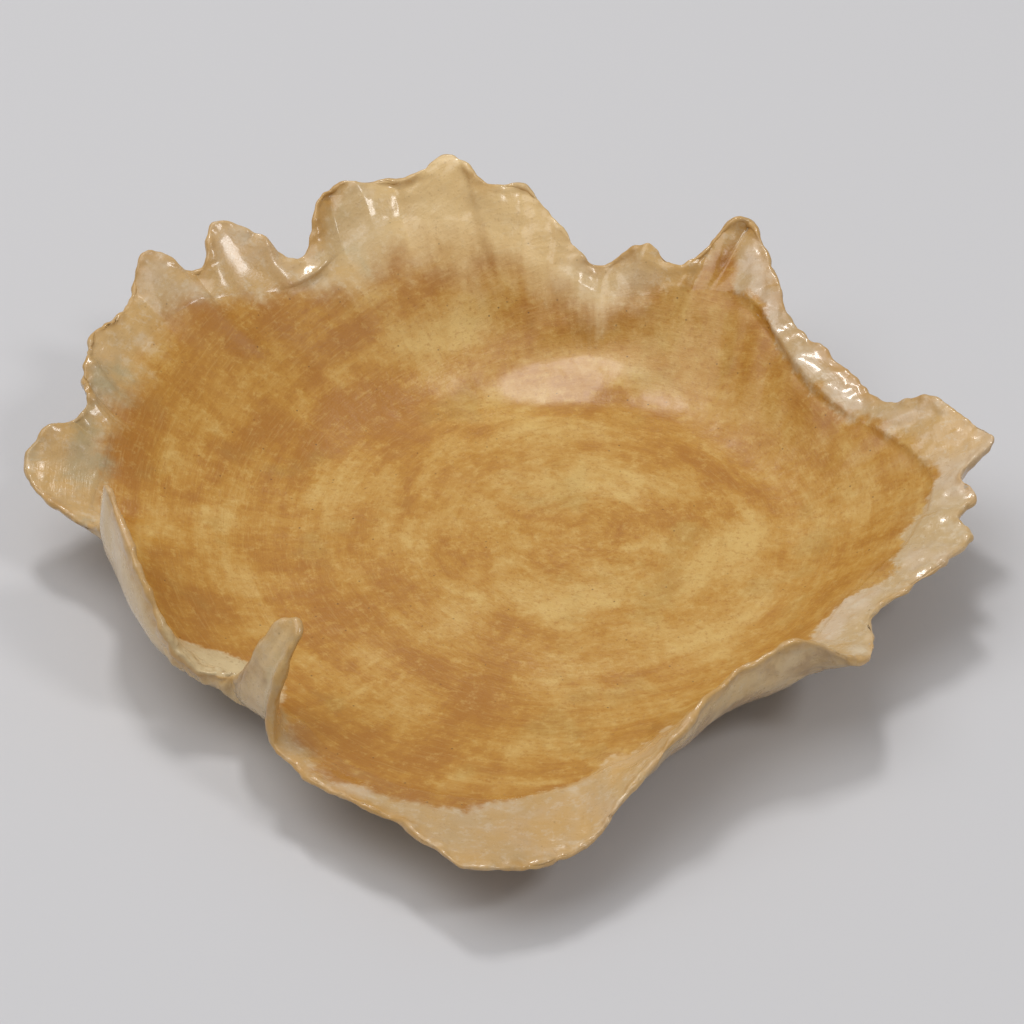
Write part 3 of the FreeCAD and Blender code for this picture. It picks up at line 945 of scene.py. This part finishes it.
def glaze(name, roughness, coat_weight, coat_roughness):
    """The painted glaze. Both coats share its colours, so that the ochre runs out over the lip."""
    graph = Graph(name)
    place = graph.place()
    split = graph.tree.nodes.new("ShaderNodeSeparateXYZ")
    graph.tree.links.new(place, split.inputs[0])
    x, y = [graph.math("SUBTRACT", split.outputs[axis], BRUSH_CENTRE[axis]) for axis in (0, 1)]
    squares = [graph.math("MULTIPLY", part, part) for part in (x, y)]
    reach = graph.math("SQRT", graph.math("ADD", *squares))
    safe = graph.math("MAXIMUM", reach, BRUSH_LEAST)
    turn_x, turn_y = graph.math("DIVIDE", x, safe), graph.math("DIVIDE", y, safe)

    def brushed(length, width, *look):
        """A noise field in strokes that run round the brush's middle."""
        sides = [graph.math("MULTIPLY", turn, length) for turn in (turn_x, turn_y)]
        inputs = {0: sides[0], 1: sides[1], 2: graph.math("MULTIPLY", reach, width)}
        return graph.noise(graph.node("ShaderNodeCombineXYZ", inputs), 1.0, *look)

    def around(field, depth):
        """A noise field as an offset about zero, as deep as asked."""
        return graph.math("MULTIPLY", graph.math("SUBTRACT", field, 0.5), depth)

    def total(first, *others):
        """The sum of several values."""
        for other in others:
            first = graph.math("ADD", first, other)
        return first

    def share(value, strength):
        """A mask at part strength."""
        return graph.math("MULTIPLY", value, strength)

    def tinted(base, field, low, high, strength, tint):
        """A colour with a tint on it where a field steps from low to high, at a strength."""
        return graph.mix(share(graph.step(field, low, high), strength), base, tint)

    clouds, blotches, stipple, grain = [
        graph.noise(place, *field) for field in (CLOUDS, BLOTCHES, STIPPLE, GRAIN)
    ]
    arcs, strokes, fine_strokes, runs = [
        brushed(*field) for field in (ARCS, STROKES, FINE_STROKES, RUNS)
    ]
    dots = graph.tree.nodes.new("ShaderNodeTexVoronoi")
    dots.inputs["Scale"].default_value = SPECK_SCALE
    graph.tree.links.new(place, dots.inputs["Vector"])
    chosen = graph.node("ShaderNodeSeparateColor", {0: dots.outputs["Color"]})
    chosen = graph.step(chosen, *SPECK_CHOICE)
    specks = share(graph.step(dots.outputs["Distance"], *SPECK_SIZE), chosen)

    # The line between the two glazes wanders, and runs down in streaks where it is soft
    fade = graph.value("glaze_fade")
    line = total(graph.value("glaze_line"), around(clouds, 5.0), around(blotches, 5.0))
    line = total(line, around(stipple, 2.5), share(around(runs, 2.6), fade))
    lip_share = graph.step(graph.math("DIVIDE", line, fade), -1.0, 1.0)

    # The well: ochre brushed round, stippled, paler in the middle of the floor, darker at the left and at
    # the front, and darker in a band just below the line between the glazes: pooled glaze and painted
    # shade under the lip's edge
    middle_share = share(graph.step(reach, 26.0, 6.0), 0.08)
    paleness = total(arcs, around(clouds, 0.9), around(strokes, 0.35), around(stipple, 0.40), middle_share)
    paleness = total(paleness, share(around(runs, 0.8), graph.step(reach, 22.0, 34.0)))
    left_share, front_share = graph.step(x, -8.0, -30.0), graph.step(y, -33.0, -41.0)
    paleness = total(paleness, share(left_share, -0.08), share(front_share, -0.12))
    # Pooled glaze just below the line, together with painted shade where the lip's edge and its step stand
    # over the wall
    pool_and_shade_share = graph.math("MULTIPLY", graph.step(line, -4.5, -1.0), graph.step(blotches, 0.36, 0.62))
    well_colour = tinted(OCHRE, paleness, 0.56, 0.22, 0.7, OCHRE_DARK)
    well_colour = tinted(well_colour, paleness, 0.42, 0.90, 0.85, OCHRE_PALE)
    well_colour = graph.mix(share(pool_and_shade_share, 0.4), well_colour, OCHRE_DARK)
    green_drift = graph.noise(place, *GREEN_DRIFT)
    well_colour = tinted(well_colour, green_drift, 0.58, 0.72, 0.25, OCHRE_GREEN)
    well_colour = tinted(well_colour, grain, 0.51, 0.72, 0.40, OCHRE_DARK)
    well_colour = tinted(well_colour, stipple, 0.53, 0.72, 0.28, OCHRE_PALE)
    well_colour = tinted(well_colour, fine_strokes, 0.50, 0.74, 0.22, OCHRE_PALE)
    well_colour = graph.mix(share(specks, 0.65), well_colour, SPECK)

    # The lip and the outside: pale pearl glaze with pink, amber and green drifts, brown painted shade
    # where the table gives it, stains outside, an amber edge and the torn clay of the notch
    drift = graph.noise(place, *PEARL_DRIFT)
    lip_colour = graph.mix(graph.step(drift, 0.44, 0.62), PEARL_BEIGE, PEARL_PINK)
    warm = total(graph.value("warmth"), around(clouds, 1.6), around(runs, 0.8))
    lip_colour = tinted(lip_colour, warm, 0.2, 0.8, 0.9, AMBER_PALE)
    lip_colour = tinted(lip_colour, blotches, 0.54, 0.74, 0.5, PEARL_WHITE)
    lip_colour = tinted(lip_colour, stipple, 0.50, 0.68, 0.35, PEARL_WHITE)
    greenish = total(graph.value("green"), around(drift, 1.6), around(blotches, 0.8))
    lip_colour = tinted(lip_colour, greenish, 0.45, 0.85, 0.7, PEARL_GREEN)
    painted_shade = graph.value("painted_shade")
    # Painted shade: the lip turns brown where the painted_shade value is above zero (most on the front
    # lip, in the crease at the back right and round the ear), and paler where it is below zero
    lip_colour = graph.mix(graph.math("MAXIMUM", painted_shade, 0.0), lip_colour, STAIN_AND_SHADE)
    lip_colour = graph.mix(graph.math("MAXIMUM", share(painted_shade, -1.0), 0.0), lip_colour, AMBER_LIGHT)
    outside = graph.value("outside")
    lip_colour = graph.mix(share(outside, 0.45), lip_colour, AMBER_LIGHT)
    stain = graph.step(total(clouds, around(strokes, 0.4), around(stipple, 0.2)), 0.44, 0.62)
    lip_colour = graph.mix(share(share(stain, 0.55), outside), lip_colour, STAIN_AND_SHADE)
    lip_colour = tinted(lip_colour, fine_strokes, 0.5, 0.75, 0.10, PEARL_WHITE)
    gap = total(graph.value("rim_gap"), around(clouds, 9.0), around(stipple, 2.0))
    lip_colour = tinted(lip_colour, gap, 1.6, -1.0, 0.70, AMBER)
    lip_colour = graph.mix(share(graph.value("torn"), 0.9), lip_colour, TORN_CLAY)
    gritty = total(share(graph.value("torn"), 0.35), 0.25)
    lip_colour = tinted(lip_colour, grain, 0.56, 0.76, gritty, STAIN_AND_SHADE)
    lip_colour = graph.mix(share(specks, 0.3), lip_colour, SPECK)
    base = graph.mix(lip_share, well_colour, lip_colour)

    # The gloss is uneven and dull along the edge and on torn clay, and the brush leaves fine bumps
    edge_matte = share(graph.step(graph.value("rim_gap"), 1.4, 0.2), 0.14)
    gloss = total(around(blotches, 0.25), edge_matte, share(graph.value("torn"), 0.3))
    gloss = graph.math("ADD", gloss, roughness, clamp=True)
    bump_height = total(share(fine_strokes, 0.5), share(grain, 0.4), share(stipple, 0.8))
    bump_inputs = {"Strength": GLAZE_BUMP, "Distance": BUMP_DISTANCE, "Height": bump_height}
    bump = graph.node("ShaderNodeBump", bump_inputs)
    inputs = {"Base Color": base, "Roughness": gloss, "Normal": bump}
    inputs.update({"Coat Weight": coat_weight, "Coat Roughness": coat_roughness, "IOR": GLAZE_IOR})
    return graph.finish(graph.node("ShaderNodeBsdfPrincipled", inputs))


def bisque():
    """Bare fired clay: matte, with a fine grit."""
    graph = Graph("bare_clay")
    place = graph.place()
    clouds = graph.noise(place, *BISQUE_CLOUDS)
    grit = graph.noise(place, *BISQUE_GRIT)
    base = graph.mix(graph.step(clouds, 0.35, 0.7), BISQUE, BISQUE_DARK)
    base = graph.mix(graph.math("MULTIPLY", graph.step(grit, 0.64, 0.74), 0.5), base, SPECK)
    bump_inputs = {"Strength": BISQUE_BUMP, "Distance": BUMP_DISTANCE, "Height": grit}
    bump = graph.node("ShaderNodeBump", bump_inputs)
    inputs = {"Base Color": base, "Roughness": BISQUE_ROUGHNESS, "Normal": bump}
    return graph.finish(graph.node("ShaderNodeBsdfPrincipled", inputs))


pearl_piece = make_pearl()
ochre_piece = make_ochre()
clay_piece = make_clay()
pearl_piece.data.materials.append(glaze("pearl_glaze", *PEARL_LOOK))
ochre_piece.data.materials.append(glaze("ochre_glaze", *OCHRE_LOOK))
clay_piece.data.materials.append(bisque())


# Floor, light and camera, in metres; the sensor is in millimetres
FLOOR_SIZE = 4.0
FLOOR_ROUGHNESS = 0.9
FLOOR_COLOUR = colour(207, 206, 208)
VIEW_ELEVATION = math.radians(38.0)
VIEW_DISTANCE = 0.42
VIEW_AIM = Vector((-0.0030, 0.0058, 0.0035))
PIXELS_PER_MM = 9.3
IMAGE_WIDTH = 1024
SENSOR = 36.0
CLIP_START = 0.01

# Lamps: name, place, width, height and power
LAMPS = [
    ("window", (-0.106, 0.379, 0.919), 0.14, 0.20, 2.5),
    ("overhead", (-0.38, -0.05, 0.90), 0.85, 0.85, 3.8),
    ("side", (0.550, -0.268, 0.735), 0.18, 0.18, 1.4),
]
WORLD_STRENGTH = 0.32


def make_floor():
    """A plain pale floor under the foot."""
    half = FLOOR_SIZE / 2
    mesh = bpy.data.meshes.new("floor")
    corners = [(-half, -half, 0), (half, -half, 0), (half, half, 0), (-half, half, 0)]
    mesh.from_pydata(corners, [], [(0, 1, 2, 3)])
    made = linked("floor", mesh)
    material = bpy.data.materials.new("floor")
    material.use_nodes = True
    shader = material.node_tree.nodes["Principled BSDF"]
    shader.inputs["Base Color"].default_value = FLOOR_COLOUR
    shader.inputs["Roughness"].default_value = FLOOR_ROUGHNESS
    mesh.materials.append(material)


def make_lamp(name, place, width, height, power):
    """A soft lamp that faces the dish."""
    lamp = bpy.data.lights.new(name, "AREA")
    lamp.shape = "RECTANGLE"
    lamp.size = width
    lamp.size_y = height
    lamp.energy = power
    made = linked(name, lamp)
    made.location = place
    made.rotation_euler = (-Vector(place)).to_track_quat("-Z", "Y").to_euler()


def make_world(strength):
    """Even light from all round."""
    world = bpy.data.worlds.new("studio")
    world.use_nodes = True
    shade = world.node_tree.nodes["Background"]
    shade.inputs["Color"].default_value = (1.0, 1.0, 1.0, 1.0)
    shade.inputs["Strength"].default_value = strength
    bpy.context.scene.world = world


def make_camera():
    """The photograph's view: from the front, looking down."""
    data = bpy.data.cameras.new("camera")
    data.sensor_width = SENSOR
    data.lens = PIXELS_PER_MM * VIEW_DISTANCE * MM / IMAGE_WIDTH * SENSOR
    data.clip_start = CLIP_START
    made = linked("camera", data)
    back = Vector((0.0, -math.cos(VIEW_ELEVATION), math.sin(VIEW_ELEVATION)))
    made.location = VIEW_AIM + back * VIEW_DISTANCE
    made.rotation_euler = (-back).to_track_quat("-Z", "Y").to_euler()
    bpy.context.scene.camera = made


make_floor()
for lamp in LAMPS:
    make_lamp(*lamp)
make_world(WORLD_STRENGTH)
make_camera()
bpy.context.scene.view_settings.view_transform = "Standard"
